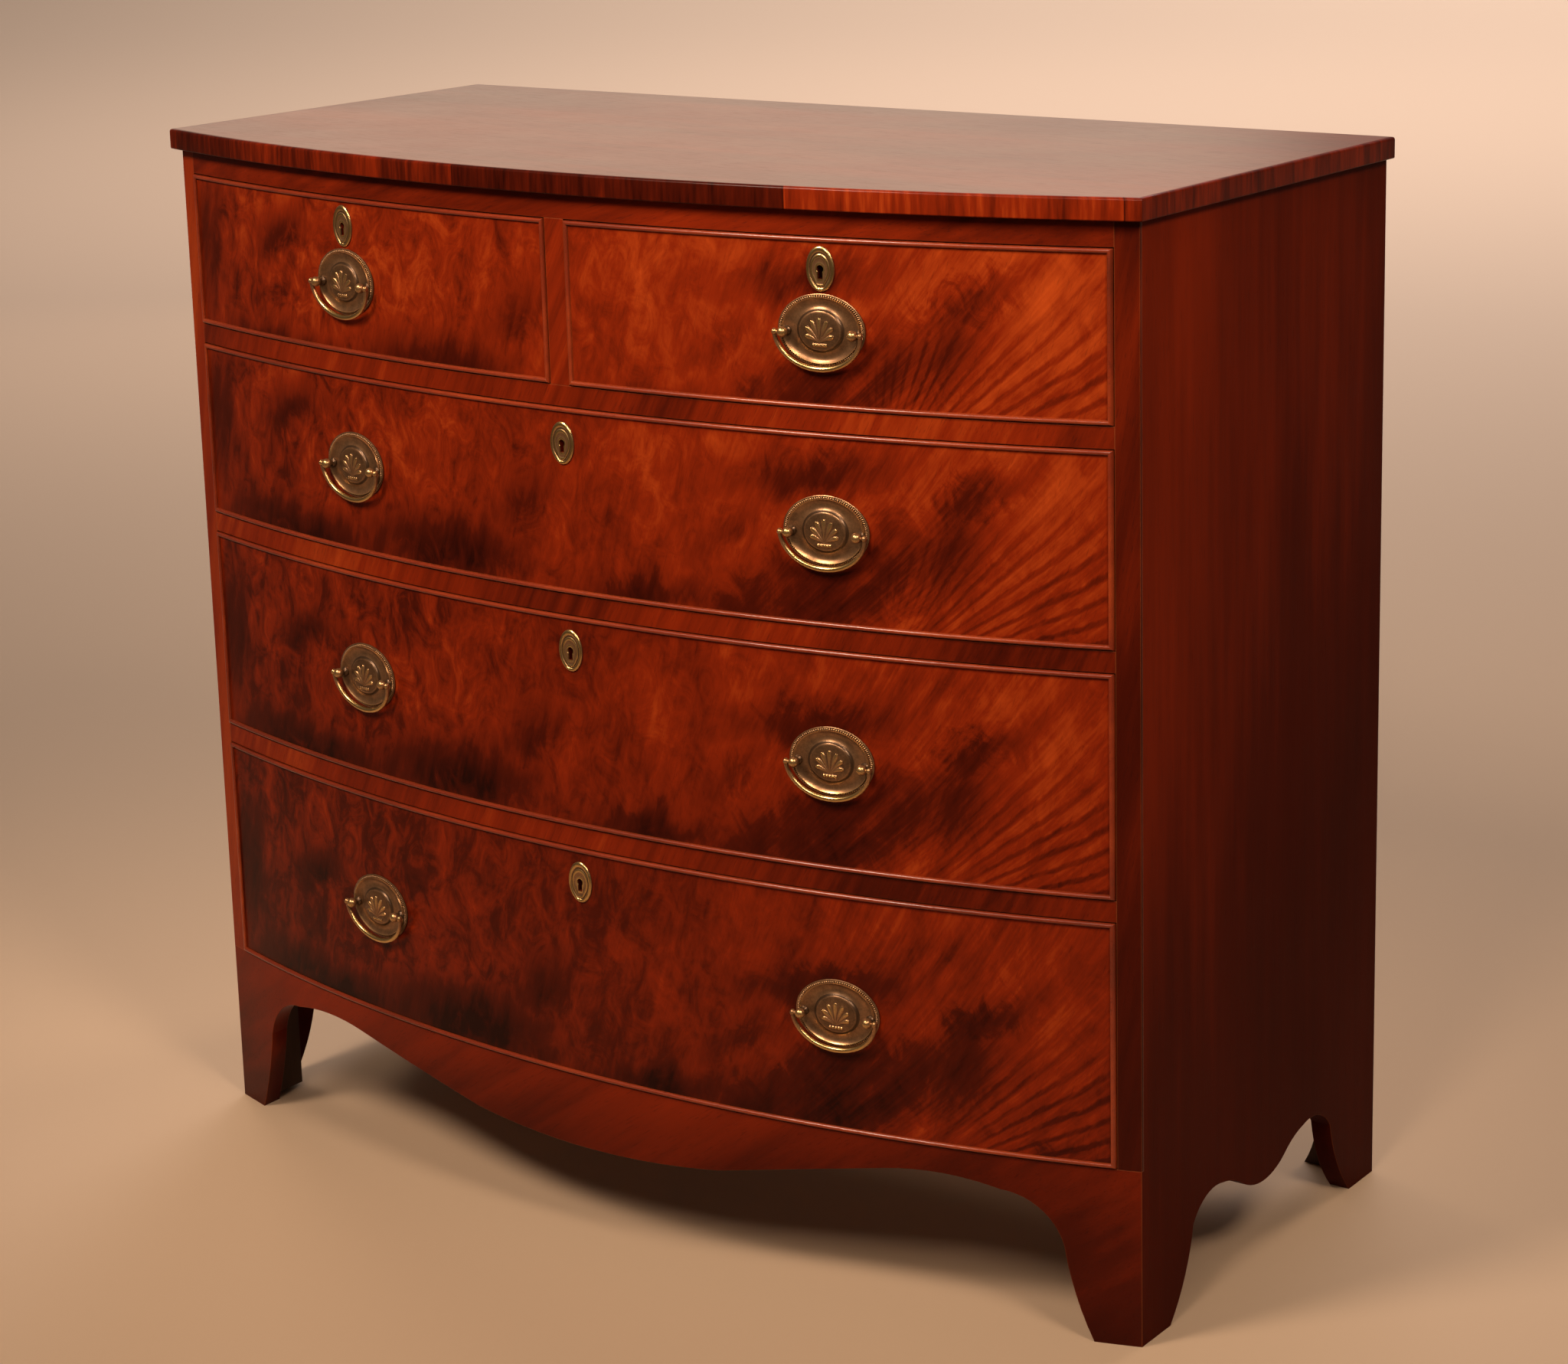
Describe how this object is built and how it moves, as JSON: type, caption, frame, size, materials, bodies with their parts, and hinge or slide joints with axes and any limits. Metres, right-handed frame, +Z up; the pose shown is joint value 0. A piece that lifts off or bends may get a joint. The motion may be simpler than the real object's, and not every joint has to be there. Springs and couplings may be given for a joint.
{
  "type": "bow-front chest of drawers",
  "caption": "Bow-front chest with short drawers over long ones, veneered fronts with cockbeads, oval brass bail handles and locks, on bracket feet with a shaped apron.",
  "frame": {"origin": "on the floor, in the middle of the chest's width and depth", "axes": "+X to the right of someone facing the chest, -Y out of its front, +Z up"},
  "size_m": [1.074, 0.529, 0.986],
  "materials": {
    "mahogany": "French-polished mahogany, worn on its edges",
    "flame_veneer": "flame-figured mahogany veneer under a glossy polish",
    "oak": "bare oak drawer linings, dulled by age",
    "pine": "bare pine, brown with age",
    "brass": "old brass with a dark patina, bright where rubbed",
    "steel": "bare steel"
  },
  "bodies": {
    "carcass": {"top_board": "mahogany", "top_edge_lipping": "mahogany", "right_side": "mahogany", "left_side": "mahogany", "stile_facings": "mahogany", "lower_rail": "mahogany", "middle_rail": "mahogany", "upper_rail": "mahogany", "top_rail": "mahogany", "short_drawer_divider": "mahogany", "apron": "mahogany", "bottom_board": "pine", "back_boards": "pine", "foot_blocks": "pine", "drawer_runners": "pine", "dust_boards": "pine", "drawer_stops": "oak"},
    "lower_long_drawer": {"lower_long_front": "flame_veneer", "lower_long_cockbeads": "mahogany", "lower_long_box": "oak", "lower_long_handle_plates": "brass", "lower_long_escutcheon": "brass", "lower_long_lock": "brass"},
    "middle_long_drawer": {"middle_long_front": "flame_veneer", "middle_long_cockbeads": "mahogany", "middle_long_box": "oak", "middle_long_handle_plates": "brass", "middle_long_escutcheon": "brass", "middle_long_lock": "brass"},
    "upper_long_drawer": {"upper_long_front": "flame_veneer", "upper_long_cockbeads": "mahogany", "upper_long_box": "oak", "upper_long_handle_plates": "brass", "upper_long_escutcheon": "brass", "upper_long_lock": "brass"},
    "short_left_drawer": {"short_left_front": "flame_veneer", "short_left_cockbeads": "mahogany", "short_left_box": "oak", "short_left_handle_plates": "brass", "short_left_escutcheon": "brass", "short_left_lock": "brass"},
    "short_right_drawer": {"short_right_front": "flame_veneer", "short_right_cockbeads": "mahogany", "short_right_box": "oak", "short_right_handle_plates": "brass", "short_right_escutcheon": "brass", "short_right_lock": "brass"},
    "lower_long_bolt": {"lower_long_lock_bolt": "steel"},
    "middle_long_bolt": {"middle_long_lock_bolt": "steel"},
    "upper_long_bolt": {"upper_long_lock_bolt": "steel"},
    "short_left_bolt": {"short_left_lock_bolt": "steel"},
    "short_right_bolt": {"short_right_lock_bolt": "steel"},
    "lower_long_left_bail_body": {"lower_long_left_bail": "brass"},
    "lower_long_right_bail_body": {"lower_long_right_bail": "brass"},
    "middle_long_left_bail_body": {"middle_long_left_bail": "brass"},
    "middle_long_right_bail_body": {"middle_long_right_bail": "brass"},
    "upper_long_left_bail_body": {"upper_long_left_bail": "brass"},
    "upper_long_right_bail_body": {"upper_long_right_bail": "brass"},
    "short_left_bail_body": {"short_left_bail": "brass"},
    "short_right_bail_body": {"short_right_bail": "brass"}
  },
  "joints": [
    {"name": "lower_long_slide", "type": "slide", "parent": "carcass", "child": "lower_long_drawer", "axis": [0, -1, 0], "range_m": [0, 0.32]},
    {"name": "middle_long_slide", "type": "slide", "parent": "carcass", "child": "middle_long_drawer", "axis": [0, -1, 0], "range_m": [0, 0.32]},
    {"name": "upper_long_slide", "type": "slide", "parent": "carcass", "child": "upper_long_drawer", "axis": [0, -1, 0], "range_m": [0, 0.32]},
    {"name": "short_left_slide", "type": "slide", "parent": "carcass", "child": "short_left_drawer", "axis": [0, -1, 0], "range_m": [0, 0.32]},
    {"name": "short_right_slide", "type": "slide", "parent": "carcass", "child": "short_right_drawer", "axis": [0, -1, 0], "range_m": [0, 0.32]},
    {"name": "lower_long_lock_throw", "type": "slide", "parent": "lower_long_drawer", "child": "lower_long_bolt", "axis": [0, 0, 1], "range_m": [0, 0.007]},
    {"name": "middle_long_lock_throw", "type": "slide", "parent": "middle_long_drawer", "child": "middle_long_bolt", "axis": [0, 0, 1], "range_m": [0, 0.007]},
    {"name": "upper_long_lock_throw", "type": "slide", "parent": "upper_long_drawer", "child": "upper_long_bolt", "axis": [0, 0, 1], "range_m": [0, 0.007]},
    {"name": "short_left_lock_throw", "type": "slide", "parent": "short_left_drawer", "child": "short_left_bolt", "axis": [0, 0, 1], "range_m": [0, 0.007]},
    {"name": "short_right_lock_throw", "type": "slide", "parent": "short_right_drawer", "child": "short_right_bolt", "axis": [0, 0, 1], "range_m": [0, 0.007]},
    {"name": "lower_long_left_bail_swing", "type": "hinge", "parent": "lower_long_drawer", "child": "lower_long_left_bail_body", "pos_m": [-0.26649, -0.24304, 0.269], "axis": [-0.9877, 0.1564, 0], "range_deg": [0, 165]},
    {"name": "lower_long_right_bail_swing", "type": "hinge", "parent": "lower_long_drawer", "child": "lower_long_right_bail_body", "pos_m": [0.26649, -0.24304, 0.269], "axis": [-0.9877, -0.1564, 0], "range_deg": [0, 165]},
    {"name": "middle_long_left_bail_swing", "type": "hinge", "parent": "middle_long_drawer", "child": "middle_long_left_bail_body", "pos_m": [-0.26649, -0.24304, 0.4955], "axis": [-0.9877, 0.1564, 0], "range_deg": [0, 165]},
    {"name": "middle_long_right_bail_swing", "type": "hinge", "parent": "middle_long_drawer", "child": "middle_long_right_bail_body", "pos_m": [0.26649, -0.24304, 0.4955], "axis": [-0.9877, -0.1564, 0], "range_deg": [0, 165]},
    {"name": "upper_long_left_bail_swing", "type": "hinge", "parent": "upper_long_drawer", "child": "upper_long_left_bail_body", "pos_m": [-0.26649, -0.24304, 0.696], "axis": [-0.9877, 0.1564, 0], "range_deg": [0, 165]},
    {"name": "upper_long_right_bail_swing", "type": "hinge", "parent": "upper_long_drawer", "child": "upper_long_right_bail_body", "pos_m": [0.26649, -0.24304, 0.696], "axis": [-0.9877, -0.1564, 0], "range_deg": [0, 165]},
    {"name": "short_left_bail_swing", "type": "hinge", "parent": "short_left_drawer", "child": "short_left_bail_body", "pos_m": [-0.26649, -0.24304, 0.8655], "axis": [-0.9877, 0.1564, 0], "range_deg": [0, 165]},
    {"name": "short_right_bail_swing", "type": "hinge", "parent": "short_right_drawer", "child": "short_right_bail_body", "pos_m": [0.26649, -0.24304, 0.8655], "axis": [-0.9877, -0.1564, 0], "range_deg": [0, 165]}
  ]
}
